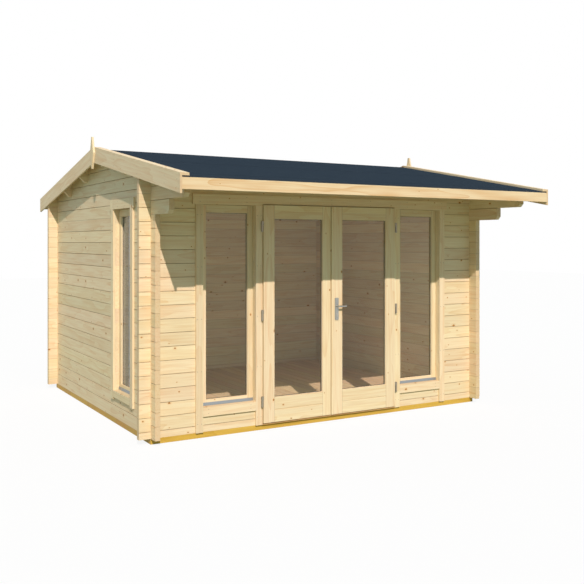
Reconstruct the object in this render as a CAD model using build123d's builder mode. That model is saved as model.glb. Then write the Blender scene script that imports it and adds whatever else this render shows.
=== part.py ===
from build123d import *
from math import cos, radians, tan
import os

# A garden log cabin: interlocked square logs, a low gable roof whose ridge runs from side to side,
# a deep front overhang on stepped log brackets, glazed double doors and three tall windows.
# X is to the right, Y to the back, Z up. The origin is on the ground under the middle of the ridge.

# Logs and walls
log_thickness = 44
course = 114
log_end = 100
groove_depth = 8
groove_half = 3
cabin_width = 3500
front_reach = 1193
back_reach = 1807
gable_course_count = 16
header_course_count = 17
back_course_count = 18

# Ground frame and floor
base_height = 46.5
base_width = 70
floor_thickness = 19
bearer_width = 44
bearer_count = 5

# Roof
roof_pitch = 10.65
roof_board = 19
felt = 3
eave_reach = 2090
purlin_width = 44
purlin_height = 141
purlin_spacing = 595
purlin_splay = 72
eave_purlin_height = 96
bargeboard = 16
bargeboard_drop = 128
cap_width = 72
cap_thickness = 20
fascia = 18
fascia_height = 86
felt_lap = 8.6
lip_setback = 6
lower_bracket = 400
upper_bracket = 700
bracket_chamfer = 30
finial_thickness = 18
finial_rise = 91
finial_hang = 58
finial_shoulder = 18
finial_half_width = 55
finial_neck = 28
finial_head = 12
finial_tip = 7

# Boards round the openings
trim = 18
casing_width = 65
head_board_height = 88
head_board_overhang = 28
apron_front = 76
apron_gable = 63
board_gap = 0.5

# Windows
frame_depth = 84
frame_face = 40
frame_foot = 36.5
settling_gap = 34.5
sash_setback = 40
sash_thickness = 40
sash_gap = 2
stile = 50
top_rail = 62
bottom_rail = 45
sill_fall = 6
glass = 6
drip_height = 25
drip_depth = 8
window_clear = 502
window_head = 1967
gable_window_clear = 456
gable_window_sill = 300
gable_lintel = 223
gable_window_place = 506
gable_casing_tail = 80

# Doors
door_width = 1440
leaf_thickness = 40
leaf_proud = 31
leaf_bottom = 61
leaf_rise = 6
leaf_gap = 5
head_gap = 7
stop_gap = 5
stop_lap = 17
leaf_stile = 108
leaf_top_rail = 118
leaf_bottom_rail = 218
rail_groove = 4
meeting_gap = 7.5
meeting_edge = -14
strip_width = 32
strip_proud = 6
threshold_rise = 9.5
threshold_nose = 22
threshold_stop = 18

# How far a cutting shape runs past what it cuts
cut_reach = 400

# Hinges
knuckle_radius = 10
knuckle_height = 93
leaf_knuckle = 31
knuckle_gap = 1
pin_radius = 4
pin_clearance = 0.05
pin_length = 26
hinge_offset = 15
hinge_proud = 30
lug_width = 8
hinge_heights = [250, 1007, 1785]

# Handle and lock
handle_x = 43
handle_z = 1057
plate_width = 38
plate_height = 204
plate_thickness = 8
plate_drop = 25
neck_radius = 9
neck_clearance = 0.05
spindle_radius = 5
spindle_clearance = 1
lever_radius = 8
lever_stand = 35
lever_length = 82
lock_drop = 73
lock_radius = 8.5
lock_tail = 25
lock_tail_width = 10
lock_proud = 3

# Heights and places that follow from the sizes above
outer_x = cabin_width / 2
inner_x = outer_x - log_thickness
end_x = outer_x + log_end
front_y = -front_reach
back_y = back_reach
notch = course / 2
half_notch = notch / 2
header_z = base_height + notch + header_course_count * course
gable_top_z = base_height + gable_course_count * course
back_wall_top = base_height + notch + back_course_count * course
rise = tan(radians(roof_pitch))
slope_cos = cos(radians(roof_pitch))
ridge_z = back_wall_top + back_reach * rise
board_rise = roof_board / slope_cos
felt_rise = felt / slope_cos
cap_rise = cap_thickness / slope_cos
roof_top = board_rise + felt_rise
sky = ridge_z + cut_reach
floor_top = base_height + floor_thickness
low_wall_top = base_height + notch + course
window_sill = low_wall_top + frame_foot
window_x = door_width / 2 + leaf_gap + casing_width + window_clear / 2
door_frame_x = door_width / 2 + leaf_gap
jamb_width = casing_width - frame_face
frame_top = window_head + frame_face
head_board_top = window_head + head_board_height
leaf_front = front_y - leaf_proud
leaf_back = leaf_front + leaf_thickness
leaf_top = window_head + leaf_rise
head_stop = leaf_top + head_gap
stop_y = leaf_back + stop_gap
hinge_x = door_width / 2 + hinge_offset
hinge_y = front_y - hinge_proud


def roof_line(y):
    """Height of the underside of the roof boards above the line y."""
    return ridge_z - rise * abs(y)


def stack_outline(outer, inner, bottom, top, joints, inner_joints=()):
    """A stack of logs seen end on: (across, up) points, with a V in the outer face at each joint.

    The inner face has a V at each of inner_joints, and is flat where there are none.
    """
    way = 1 if inner > outer else -1
    low, high = bottom + groove_half, top - groove_half
    points = [(outer, bottom)]
    for z in [z for z in joints if low < z < high]:
        points += [(outer, z - groove_half), (outer + way * groove_depth, z), (outer, z + groove_half)]
    points += [(outer, top), (inner, top)]
    for z in [z for z in reversed(inner_joints) if low < z < high]:
        points += [(inner, z + groove_half), (inner - way * groove_depth, z), (inner, z - groove_half)]
    points += [(inner, bottom)]
    return points


def slope_band(y_ridge, y_eave, low, high):
    """A band that follows one roof slope, between two heights above the roof line."""
    return [(y_ridge, roof_line(y_ridge) + low), (y_eave, roof_line(y_eave) + low),
            (y_eave, roof_line(y_eave) + high), (y_ridge, roof_line(y_ridge) + high)]


fascia_top = roof_line(eave_reach) + board_rise - felt_lap
fascia_bottom = fascia_top - fascia_height
purlin_underside = roof_line(purlin_spacing) - purlin_height
gable_hole_top = purlin_underside - gable_lintel
gable_window_head = gable_hole_top - settling_gap - frame_face
above_roof = [(-eave_reach * 2, roof_line(eave_reach * 2)), (0, ridge_z), (eave_reach * 2, roof_line(eave_reach * 2)),
              (eave_reach * 2, sky), (-eave_reach * 2, sky)]
joint_range = range(0, 24)
long_joints = [base_height + notch + course * k for k in joint_range]
gable_joints = [base_height + course * k for k in joint_range]
crossing_x = outer_x - log_thickness / 2
crossing_front = front_y + log_thickness / 2
crossing_back = back_y - log_thickness / 2

# Ground frame: beams under all four walls, and bearers from side to side under the floor
with BuildPart() as long_base_beams:
    with Locations((0, front_y + base_width / 2, 0), (0, back_y - base_width / 2, 0)):
        Box(cabin_width, base_width, base_height, align=(Align.CENTER, Align.CENTER, Align.MIN))
long_base_beams.part.label = "long_base_beams"
export_step(long_base_beams.part, "parts/long_base_beams.step")

ring_depth = back_y - front_y - 2 * base_width
bearer_length = cabin_width - 2 * (base_width + board_gap)
bearer_y = (front_y + back_y) / 2
bearer_step = ring_depth / (bearer_count + 1)
with BuildPart() as floor_bearers:
    with Locations((0, bearer_y, 0)):
        with GridLocations(1, bearer_step, 1, bearer_count):
            Box(bearer_length, bearer_width, base_height, align=(Align.CENTER, Align.CENTER, Align.MIN))
        with GridLocations(cabin_width - base_width, 1, 2, 1):
            Box(base_width, ring_depth, base_height, align=(Align.CENTER, Align.CENTER, Align.MIN))
floor_bearers.part.label = "floor_bearers"
export_step(floor_bearers.part, "parts/floor_bearers.step")

with BuildPart() as floor:
    with BuildSketch(Plane.XY.offset(base_height)):
        with Locations((0, bearer_y)):
            Rectangle(2 * inner_x, back_y - front_y - 2 * log_thickness)
    extrude(amount=floor_thickness)
floor.part.label = "floor"
export_step(floor.part, "parts/floor.step")

# Front wall: a full-height pier and a low wall under the window on each side of the doorway
pier_edge = window_x + window_clear / 2 + frame_face
low_edge = window_x - window_clear / 2 - frame_face
with BuildPart() as front_wall_right:
    with BuildSketch(Plane.YZ.offset(pier_edge)):
        with BuildLine():
            Polyline(*stack_outline(front_y, front_y + log_thickness, base_height, header_z, long_joints), close=True)
        make_face()
    extrude(amount=end_x - pier_edge)
    with BuildSketch(Plane.YZ.offset(low_edge)):
        with BuildLine():
            Polyline(*stack_outline(front_y, front_y + log_thickness, base_height, low_wall_top, long_joints),
                     close=True)
        make_face()
    extrude(amount=pier_edge - low_edge)
    with Locations(*[(crossing_x, crossing_front, z) for z in long_joints if z - half_notch < header_z]):
        Box(log_thickness, log_thickness + 2, notch, mode=Mode.SUBTRACT)
front_wall_right.part.label = "front_wall_right"
export_step(front_wall_right.part, "parts/front_wall_right.step")

with BuildPart() as front_wall_left:
    mirror(front_wall_right.part, about=Plane.YZ)
front_wall_left.part.label = "front_wall_left"
export_step(front_wall_left.part, "parts/front_wall_left.step")

# The long logs over the windows and the doorway, bevelled to the roof
with BuildPart() as front_wall_header:
    with BuildSketch(Plane.YZ.offset(-end_x)):
        with BuildLine():
            Polyline(*stack_outline(front_y, front_y + log_thickness, header_z, roof_line(0), long_joints), close=True)
        make_face()
    extrude(amount=2 * end_x)
    with Locations(*[(side * crossing_x, crossing_front, z) for side in (-1, 1) for z in long_joints
                     if z + half_notch > header_z]):
        Box(log_thickness, log_thickness + 2, notch, mode=Mode.SUBTRACT)
    with BuildSketch(Plane.YZ.offset(-end_x)):
        with BuildLine():
            Polyline(*above_roof, close=True)
        make_face()
    extrude(amount=2 * end_x, mode=Mode.SUBTRACT)
front_wall_header.part.label = "front_wall_header"
export_step(front_wall_header.part, "parts/front_wall_header.step")

with BuildPart() as back_wall:
    with BuildSketch(Plane.YZ.offset(-end_x)):
        with BuildLine():
            Polyline(*stack_outline(back_y, back_y - log_thickness, base_height, roof_line(0), long_joints), close=True)
        make_face()
    extrude(amount=2 * end_x)
    with Locations(*[(side * crossing_x, crossing_back, z) for side in (-1, 1) for z in long_joints]):
        Box(log_thickness, log_thickness + 2, notch, mode=Mode.SUBTRACT)
    with BuildSketch(Plane.YZ.offset(-end_x)):
        with BuildLine():
            Polyline(*above_roof, close=True)
        make_face()
    extrude(amount=2 * end_x, mode=Mode.SUBTRACT)
back_wall.part.label = "back_wall"
export_step(back_wall.part, "parts/back_wall.step")

# Gable walls: their logs lie half a course higher, so the two walls bite into each other at the corners
gable_back = back_y + log_end
gable_front = front_y - log_end
with BuildPart() as right_gable_wall:
    with BuildSketch(Plane.XZ.offset(-gable_back)):
        with BuildLine():
            Polyline(*stack_outline(outer_x, inner_x, base_height, gable_top_z, gable_joints), close=True)
        make_face()
    extrude(amount=gable_back - gable_front)
    with Locations(*[(crossing_x, y, z) for y in (crossing_front, crossing_back) for z in gable_joints
                     if z - half_notch < gable_top_z]):
        Box(log_thickness + 2, log_thickness, notch, mode=Mode.SUBTRACT)
right_gable_wall.part.label = "right_gable_wall"
export_step(right_gable_wall.part, "parts/right_gable_wall.step")

gable_hole_bottom = gable_window_sill - frame_foot
gable_hole_width = gable_window_clear + 2 * frame_face
with BuildPart() as left_gable_wall:
    mirror(right_gable_wall.part, about=Plane.YZ)
    with BuildSketch(Plane.YZ.offset(-outer_x - 1)):
        with Locations((-gable_window_place, (gable_hole_bottom + gable_hole_top) / 2)):
            Rectangle(gable_hole_width, gable_hole_top - gable_hole_bottom)
    extrude(amount=log_thickness + 2, mode=Mode.SUBTRACT)
left_gable_wall.part.label = "left_gable_wall"
export_step(left_gable_wall.part, "parts/left_gable_wall.step")

# Gable tops: the two lowest logs run forward as stepped brackets under the overhang
lower_end = front_y - lower_bracket
upper_end = front_y - upper_bracket
step_z = gable_top_z + course
purlin_places = [0, -purlin_spacing, purlin_spacing, 2 * purlin_spacing]
eave_purlin_y = -3 * purlin_spacing
with BuildPart() as right_gable_top:
    with BuildSketch(Plane.XZ.offset(-gable_back)):
        with BuildLine():
            Polyline(*stack_outline(outer_x, inner_x, gable_top_z, ridge_z, gable_joints, gable_joints),
                     close=True)
        make_face()
    extrude(amount=gable_back - upper_end)
    with BuildSketch(Plane.YZ.offset(inner_x - 1)):
        with BuildLine():
            Polyline((lower_end + bracket_chamfer, gable_top_z), (lower_end, gable_top_z + bracket_chamfer),
                     (lower_end, step_z), (upper_end + bracket_chamfer, step_z),
                     (upper_end, step_z + bracket_chamfer), (upper_end - 1, step_z + bracket_chamfer),
                     (upper_end - 1, gable_top_z - 1), (lower_end + bracket_chamfer, gable_top_z - 1), close=True)
        make_face()
        with BuildLine():
            Polyline(*above_roof, close=True)
        make_face()
        with Locations(*[(y, roof_line(y) - purlin_height / 2) for y in purlin_places]):
            Rectangle(purlin_width, purlin_height)
        with Locations((eave_purlin_y, roof_line(eave_purlin_y) - eave_purlin_height / 2)):
            Rectangle(purlin_width, eave_purlin_height)
    extrude(amount=log_thickness + 2, mode=Mode.SUBTRACT)
    with Locations(*[(crossing_x, y, z) for y in (crossing_front, crossing_back) for z in gable_joints
                     if z + half_notch > gable_top_z]):
        Box(log_thickness + 2, log_thickness, notch, mode=Mode.SUBTRACT)
right_gable_top.part.label = "right_gable_top"
export_step(right_gable_top.part, "parts/right_gable_top.step")

with BuildPart() as left_gable_top:
    mirror(right_gable_top.part, about=Plane.YZ)
    with BuildSketch(Plane.YZ.offset(-outer_x - 1)):
        with Locations((-gable_window_place, (gable_hole_bottom + gable_hole_top) / 2)):
            Rectangle(gable_hole_width, gable_hole_top - gable_hole_bottom)
    extrude(amount=log_thickness + 2, mode=Mode.SUBTRACT)
left_gable_top.part.label = "left_gable_top"
export_step(left_gable_top.part, "parts/left_gable_top.step")

# Purlins from gable to gable, bevelled to the roof and splayed under their ends
with BuildPart() as purlins:
    with BuildSketch(Plane.YZ.offset(-end_x)):
        with Locations(*[(y, roof_line(y) - purlin_height / 2) for y in purlin_places]):
            Rectangle(purlin_width, purlin_height)
        with Locations((eave_purlin_y, roof_line(eave_purlin_y) - eave_purlin_height / 2)):
            Rectangle(purlin_width, eave_purlin_height)
        with BuildLine():
            Polyline(*above_roof, close=True)
        make_face(mode=Mode.SUBTRACT)
    extrude(amount=2 * end_x)
    end_faces = purlins.faces().filter_by(Axis.X)
    chamfer([face.edges().sort_by(Axis.Z)[0] for face in end_faces], purlin_splay)
purlins.part.label = "purlins"
export_step(purlins.part, "parts/purlins.step")

# Roof boards and felt
board_eave = eave_reach - fascia
with BuildPart() as front_roof_boards:
    with BuildSketch(Plane.YZ.offset(-end_x)):
        with BuildLine():
            Polyline(*slope_band(0, -board_eave, 0, board_rise), close=True)
        make_face()
    extrude(amount=2 * end_x)
front_roof_boards.part.label = "front_roof_boards"
export_step(front_roof_boards.part, "parts/front_roof_boards.step")

with BuildPart() as back_roof_boards:
    mirror(front_roof_boards.part, about=Plane.XZ)
back_roof_boards.part.label = "back_roof_boards"
export_step(back_roof_boards.part, "parts/back_roof_boards.step")

# The felt covers both slopes in one sheet and turns down over the ends of the boards
lip_y = eave_reach - lip_setback
with BuildPart() as roof_felt:
    with BuildSketch(Plane.YZ.offset(-end_x)):
        with BuildLine():
            Polyline((0, ridge_z + board_rise), (lip_y - felt, roof_line(lip_y - felt) + board_rise),
                     (lip_y - felt, fascia_top), (lip_y, fascia_top), (lip_y, roof_line(lip_y) + roof_top),
                     (0, ridge_z + roof_top), (-lip_y, roof_line(lip_y) + roof_top), (-lip_y, fascia_top),
                     (felt - lip_y, fascia_top), (felt - lip_y, roof_line(lip_y - felt) + board_rise), close=True)
        make_face()
    extrude(amount=2 * end_x)
roof_felt.part.label = "roof_felt"
export_step(roof_felt.part, "parts/roof_felt.step")

# Bargeboards on the ends of the purlins, with cap strips over them
with BuildPart() as front_bargeboards:
    with BuildSketch(Plane.YZ.offset(end_x)):
        with BuildLine():
            Polyline(*slope_band(0, -eave_reach, roof_top - bargeboard_drop, roof_top), close=True)
        make_face()
    extrude(amount=bargeboard)
    mirror(about=Plane.YZ)
front_bargeboards.part.label = "front_bargeboards"
export_step(front_bargeboards.part, "parts/front_bargeboards.step")

with BuildPart() as back_bargeboards:
    mirror(front_bargeboards.part, about=Plane.XZ)
back_bargeboards.part.label = "back_bargeboards"
export_step(back_bargeboards.part, "parts/back_bargeboards.step")

with BuildPart() as front_barge_caps:
    with BuildSketch(Plane.YZ.offset(end_x + bargeboard - cap_width)):
        with BuildLine():
            Polyline(*slope_band(0, -eave_reach, roof_top, roof_top + cap_rise), close=True)
        make_face()
    extrude(amount=cap_width)
    mirror(about=Plane.YZ)
front_barge_caps.part.label = "front_barge_caps"
export_step(front_barge_caps.part, "parts/front_barge_caps.step")

with BuildPart() as back_barge_caps:
    mirror(front_barge_caps.part, about=Plane.XZ)
back_barge_caps.part.label = "back_barge_caps"
export_step(back_barge_caps.part, "parts/back_barge_caps.step")

# Finials: a pointed board over the joint of the bargeboards at each gable
finial_top = ridge_z + roof_top + cap_rise + finial_rise
finial_waist = ridge_z - finial_shoulder
finial_bottom = ridge_z + roof_top - bargeboard_drop - finial_hang
with BuildPart() as finials:
    with BuildSketch(Plane.YZ.offset(end_x + bargeboard)):
        with BuildLine():
            Line((finial_tip, finial_bottom), (finial_half_width, finial_waist))
            ThreePointArc((finial_half_width, finial_waist), (finial_neck, (finial_waist + finial_top) / 2),
                          (finial_head, finial_top))
            Line((finial_head, finial_top), (0, finial_top))
            mirror(about=Plane.YZ)
            Line((finial_tip, finial_bottom), (-finial_tip, finial_bottom))
        make_face()
    extrude(amount=finial_thickness)
    mirror(about=Plane.YZ)
finials.part.label = "finials"
export_step(finials.part, "parts/finials.step")

with BuildPart() as fascias:
    with BuildSketch(Plane.XY.offset(fascia_bottom)):
        with GridLocations(1, 2 * eave_reach - fascia, 1, 2):
            Rectangle(2 * end_x, fascia)
    extrude(amount=fascia_height)
fascias.part.label = "fascias"
export_step(fascias.part, "parts/fascias.step")

# Boards on the front wall: upright casings, the long head board and the aprons under the windows
inner_casing_x = door_frame_x + casing_width / 2
outer_casing_x = window_x + window_clear / 2 + casing_width / 2
with BuildPart() as front_casings:
    with BuildSketch(Plane.XZ.offset(-front_y)):
        with Locations(*[(side * x, base_height) for side in (-1, 1) for x in (inner_casing_x, outer_casing_x)]):
            Rectangle(casing_width, window_head - board_gap - base_height, align=(Align.CENTER, Align.MIN))
    extrude(amount=trim)
front_casings.part.label = "front_casings"
export_step(front_casings.part, "parts/front_casings.step")

head_board_x = outer_casing_x + casing_width / 2 + head_board_overhang
with BuildPart() as head_board:
    with BuildSketch(Plane.XZ.offset(-front_y)):
        with BuildLine():
            Polyline((-head_board_x, window_head), (-door_frame_x, window_head), (-door_frame_x, head_stop),
                     (door_frame_x, head_stop), (door_frame_x, window_head), (head_board_x, window_head),
                     (head_board_x, head_board_top), (-head_board_x, head_board_top), close=True)
        make_face()
    extrude(amount=trim)
head_board.part.label = "head_board"
export_step(head_board.part, "parts/head_board.step")

with BuildPart() as sill_boards:
    with BuildSketch(Plane.XZ.offset(-front_y)):
        with Locations((-window_x, window_sill), (window_x, window_sill)):
            Rectangle(window_clear - 2 * board_gap, apron_front, align=(Align.CENTER, Align.MAX))
    extrude(amount=trim)
sill_boards.part.label = "sill_boards"
export_step(sill_boards.part, "parts/sill_boards.step")


def window_corners(clear, sill, head):
    """Half width and the heights of the sash and of its glass in a window of the given opening."""
    return (clear / 2 - sash_gap, sill + sill_fall + sash_gap, head - sash_gap)


# Window frames line the openings, with a sill that falls towards the weather
with BuildPart() as front_window_frames:
    with BuildSketch(Plane.XZ.offset(-front_y)):
        with Locations((window_x, (low_wall_top + frame_top) / 2)):
            Rectangle(window_clear + 2 * frame_face, frame_top - low_wall_top)
        with Locations((window_x, (window_sill + window_head) / 2)):
            Rectangle(window_clear, window_head - window_sill, mode=Mode.SUBTRACT)
    extrude(amount=-frame_depth)
    with BuildSketch(Plane.YZ.offset(window_x - window_clear / 2)):
        with BuildLine():
            Polyline((front_y, window_sill), (front_y + sash_setback, window_sill + sill_fall),
                     (front_y + frame_depth, window_sill + sill_fall), (front_y + frame_depth, window_sill), close=True)
        make_face()
    extrude(amount=window_clear)
    mirror(about=Plane.YZ)
front_window_frames.part.label = "front_window_frames"
export_step(front_window_frames.part, "parts/front_window_frames.step")

sash_half, sash_bottom, sash_top = window_corners(window_clear, window_sill, window_head)
sash_front = front_y + sash_setback
with BuildPart() as front_window_sashes:
    with BuildSketch(Plane.XZ.offset(-sash_front)):
        with Locations((window_x, (sash_bottom + sash_top) / 2)):
            Rectangle(2 * sash_half, sash_top - sash_bottom)
        with Locations((window_x, (sash_bottom + bottom_rail + sash_top - top_rail) / 2)):
            Rectangle(2 * (sash_half - stile), sash_top - top_rail - sash_bottom - bottom_rail, mode=Mode.SUBTRACT)
    extrude(amount=-sash_thickness)
    mirror(about=Plane.YZ)
front_window_sashes.part.label = "front_window_sashes"
export_step(front_window_sashes.part, "parts/front_window_sashes.step")

# The gable window stands in the same kind of frame, nearer to the front of the left wall
gable_x = -outer_x
gable_frame_bottom = gable_hole_bottom
gable_frame_top = gable_window_head + frame_face
with BuildPart() as gable_window_frame:
    with BuildSketch(Plane.YZ.offset(gable_x)):
        with Locations((-gable_window_place, (gable_frame_bottom + gable_frame_top) / 2)):
            Rectangle(gable_hole_width, gable_frame_top - gable_frame_bottom)
        with Locations((-gable_window_place, (gable_window_sill + gable_window_head) / 2)):
            Rectangle(gable_window_clear, gable_window_head - gable_window_sill, mode=Mode.SUBTRACT)
    extrude(amount=frame_depth)
    with BuildSketch(Plane.XZ.offset(gable_window_place - gable_window_clear / 2)):
        with BuildLine():
            Polyline((gable_x, gable_window_sill), (gable_x + sash_setback, gable_window_sill + sill_fall),
                     (gable_x + frame_depth, gable_window_sill + sill_fall),
                     (gable_x + frame_depth, gable_window_sill), close=True)
        make_face()
    extrude(amount=gable_window_clear)
gable_window_frame.part.label = "gable_window_frame"
export_step(gable_window_frame.part, "parts/gable_window_frame.step")

gable_half, gable_sash_bottom, gable_sash_top = window_corners(gable_window_clear, gable_window_sill, gable_window_head)
gable_sash_x = gable_x + sash_setback
with BuildPart() as gable_window_sash:
    with BuildSketch(Plane.YZ.offset(gable_sash_x)):
        with Locations((-gable_window_place, (gable_sash_bottom + gable_sash_top) / 2)):
            Rectangle(2 * gable_half, gable_sash_top - gable_sash_bottom)
        with Locations((-gable_window_place, (gable_sash_bottom + bottom_rail + gable_sash_top - top_rail) / 2)):
            Rectangle(2 * (gable_half - stile), gable_sash_top - top_rail - gable_sash_bottom - bottom_rail,
                      mode=Mode.SUBTRACT)
    extrude(amount=sash_thickness)
gable_window_sash.part.label = "gable_window_sash"
export_step(gable_window_sash.part, "parts/gable_window_sash.step")

gable_casing_bottom = gable_window_sill - gable_casing_tail
gable_casing_place = gable_window_clear / 2 + casing_width / 2
gable_head_length = gable_window_clear + 2 * casing_width + 2 * head_board_overhang
with BuildPart() as gable_window_casings:
    with BuildSketch(Plane.YZ.offset(gable_x - trim)):
        with Locations(*[(-gable_window_place + side * gable_casing_place, gable_casing_bottom) for side in (-1, 1)]):
            Rectangle(casing_width, gable_window_head - board_gap - gable_casing_bottom,
                      align=(Align.CENTER, Align.MIN))
        with Locations((-gable_window_place, gable_window_head)):
            Rectangle(gable_head_length, head_board_height, align=(Align.CENTER, Align.MIN))
        with Locations((-gable_window_place, gable_window_sill)):
            Rectangle(gable_window_clear - 2 * board_gap, apron_gable, align=(Align.CENTER, Align.MAX))
    extrude(amount=trim)
gable_window_casings.part.label = "gable_window_casings"
export_step(gable_window_casings.part, "parts/gable_window_casings.step")

# Glass of the three windows
pane_setback = sash_setback + (sash_thickness - glass) / 2
with BuildPart() as window_glass:
    with BuildSketch(Plane.XZ.offset(-front_y - pane_setback)):
        with Locations(*[(x, (sash_bottom + bottom_rail + sash_top - top_rail) / 2) for x in (-window_x, window_x)]):
            Rectangle(2 * (sash_half - stile), sash_top - top_rail - sash_bottom - bottom_rail)
    extrude(amount=-glass)
    with BuildSketch(Plane.YZ.offset(gable_x + pane_setback)):
        with Locations((-gable_window_place, (gable_sash_bottom + bottom_rail + gable_sash_top - top_rail) / 2)):
            Rectangle(2 * (gable_half - stile), gable_sash_top - top_rail - gable_sash_bottom - bottom_rail)
    extrude(amount=glass)
window_glass.part.label = "window_glass"
export_step(window_glass.part, "parts/window_glass.step")

# Metal rain bars at the foot of each sash
with BuildPart() as window_drips:
    with BuildSketch(Plane.YZ.offset(window_x - sash_half)):
        with BuildLine():
            Polyline((sash_front, window_sill + sill_fall), (sash_front, window_sill + sill_fall + drip_height),
                     (sash_front - drip_depth / 4, window_sill + sill_fall + drip_height),
                     (sash_front - drip_depth, window_sill + sill_fall), close=True)
        make_face()
    extrude(amount=2 * sash_half)
    mirror(about=Plane.YZ)
    with BuildSketch(Plane.XZ.offset(gable_window_place - gable_half)):
        with BuildLine():
            Polyline((gable_sash_x, gable_window_sill + sill_fall),
                     (gable_sash_x, gable_window_sill + sill_fall + drip_height),
                     (gable_sash_x - drip_depth / 4, gable_window_sill + sill_fall + drip_height),
                     (gable_sash_x - drip_depth, gable_window_sill + sill_fall), close=True)
        make_face()
    extrude(amount=2 * gable_half)
window_drips.part.label = "window_drips"
export_step(window_drips.part, "parts/window_drips.step")

# Door frame with the stop that the leaves close against, standing on the front beam
door_frame_outer = door_frame_x + jamb_width
stop_x = door_width / 2 - stop_lap
stop_z = leaf_top - stop_lap
with BuildPart() as door_frame:
    with BuildSketch(Plane.XZ.offset(-front_y)):
        with Locations((0, base_height)):
            Rectangle(2 * door_frame_outer, frame_top - base_height, align=(Align.CENTER, Align.MIN))
            Rectangle(2 * door_frame_x, head_stop - base_height, align=(Align.CENTER, Align.MIN), mode=Mode.SUBTRACT)
    extrude(amount=-frame_depth)
    with BuildSketch(Plane.XZ.offset(-stop_y)):
        with Locations((0, floor_top)):
            Rectangle(2 * door_frame_x, head_stop - floor_top, align=(Align.CENTER, Align.MIN))
            Rectangle(2 * stop_x, stop_z - floor_top, align=(Align.CENTER, Align.MIN), mode=Mode.SUBTRACT)
    extrude(amount=-(front_y + frame_depth - stop_y))
    with BuildSketch(Plane.XY.offset(base_height)):
        with Locations((0, front_y + log_thickness)):
            Rectangle(cabin_width, frame_depth, align=(Align.CENTER, Align.MIN))
    extrude(amount=floor_thickness, mode=Mode.SUBTRACT)
door_frame.part.label = "door_frame"
export_step(door_frame.part, "parts/door_frame.step")

# Threshold on the front beam, with an upstand behind the leaves
threshold_top = base_height + threshold_rise
upstand_top = threshold_top + threshold_stop
with BuildPart() as threshold:
    with BuildSketch(Plane.YZ.offset(-door_frame_x)):
        with BuildLine():
            Polyline((front_y - threshold_nose, base_height), (front_y - threshold_nose, threshold_top),
                     (stop_y, threshold_top), (stop_y, upstand_top), (front_y + frame_depth, upstand_top),
                     (front_y + frame_depth, floor_top), (front_y + log_thickness, floor_top),
                     (front_y + log_thickness, base_height), close=True)
        make_face()
    extrude(amount=2 * door_frame_x)
    with Locations(*[(side * (stop_x + door_frame_x) / 2, stop_y, floor_top) for side in (-1, 1)]):
        Box(door_frame_x - stop_x, frame_depth, threshold_stop * 2, align=(Align.CENTER, Align.MIN, Align.MIN),
            mode=Mode.SUBTRACT)
threshold.part.label = "threshold"
export_step(threshold.part, "parts/threshold.step")

# Door leaves: stiles and rails round tall glass, the bottom rail of two boards with a groove between
glass_inner = leaf_stile
glass_outer = door_width / 2 - leaf_stile
glass_bottom = leaf_bottom + leaf_bottom_rail
glass_top = leaf_top - leaf_top_rail
glass_x = (glass_inner + glass_outer) / 2
glass_z = (glass_bottom + glass_top) / 2
left_leaf_edge = meeting_edge - meeting_gap
plate_z = handle_z - plate_drop
lock_z = handle_z - lock_drop
with BuildPart() as left_leaf:
    with BuildSketch(Plane.XZ.offset(-leaf_front)):
        with Locations((-door_width / 2, leaf_bottom)):
            Rectangle(left_leaf_edge + door_width / 2, leaf_top - leaf_bottom, align=(Align.MIN, Align.MIN))
        with Locations((-glass_x, glass_z)):
            Rectangle(glass_outer - glass_inner, glass_top - glass_bottom, mode=Mode.SUBTRACT)
    extrude(amount=-leaf_thickness)
    with BuildSketch(Plane.YZ.offset(-glass_outer)):
        with Locations((leaf_front, leaf_bottom + leaf_bottom_rail / 2), (leaf_back, leaf_bottom + leaf_bottom_rail / 2)):
            RegularPolygon(rail_groove, 4, rotation=0)
    extrude(amount=glass_outer - glass_inner, mode=Mode.SUBTRACT)
left_leaf.part.label = "left_leaf"
export_step(left_leaf.part, "parts/left_leaf.step")

with BuildPart() as right_leaf:
    with BuildSketch(Plane.XZ.offset(-leaf_front)):
        with Locations((meeting_edge, leaf_bottom)):
            Rectangle(door_width / 2 - meeting_edge, leaf_top - leaf_bottom, align=(Align.MIN, Align.MIN))
        with Locations((glass_x, glass_z)):
            Rectangle(glass_outer - glass_inner, glass_top - glass_bottom, mode=Mode.SUBTRACT)
        with Locations((handle_x, handle_z)):
            Circle(spindle_radius + spindle_clearance, mode=Mode.SUBTRACT)
        with Locations((handle_x, lock_z)):
            Circle(lock_radius, mode=Mode.SUBTRACT)
            Rectangle(lock_tail_width, lock_tail, align=(Align.CENTER, Align.MAX), mode=Mode.SUBTRACT)
    extrude(amount=-leaf_thickness)
    with BuildSketch(Plane.YZ.offset(glass_inner)):
        with Locations((leaf_front, leaf_bottom + leaf_bottom_rail / 2), (leaf_back, leaf_bottom + leaf_bottom_rail / 2)):
            RegularPolygon(rail_groove, 4, rotation=0)
    extrude(amount=glass_outer - glass_inner, mode=Mode.SUBTRACT)
right_leaf.part.label = "right_leaf"
export_step(right_leaf.part, "parts/right_leaf.step")

pane_front = leaf_front + (leaf_thickness - glass) / 2
with BuildPart() as right_leaf_glass:
    with BuildSketch(Plane.XZ.offset(-pane_front)):
        with Locations((glass_x, glass_z)):
            Rectangle(glass_outer - glass_inner, glass_top - glass_bottom)
    extrude(amount=-glass)
right_leaf_glass.part.label = "right_leaf_glass"
export_step(right_leaf_glass.part, "parts/right_leaf_glass.step")

with BuildPart() as left_leaf_glass:
    mirror(right_leaf_glass.part, about=Plane.YZ)
left_leaf_glass.part.label = "left_leaf_glass"
export_step(left_leaf_glass.part, "parts/left_leaf_glass.step")

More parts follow.
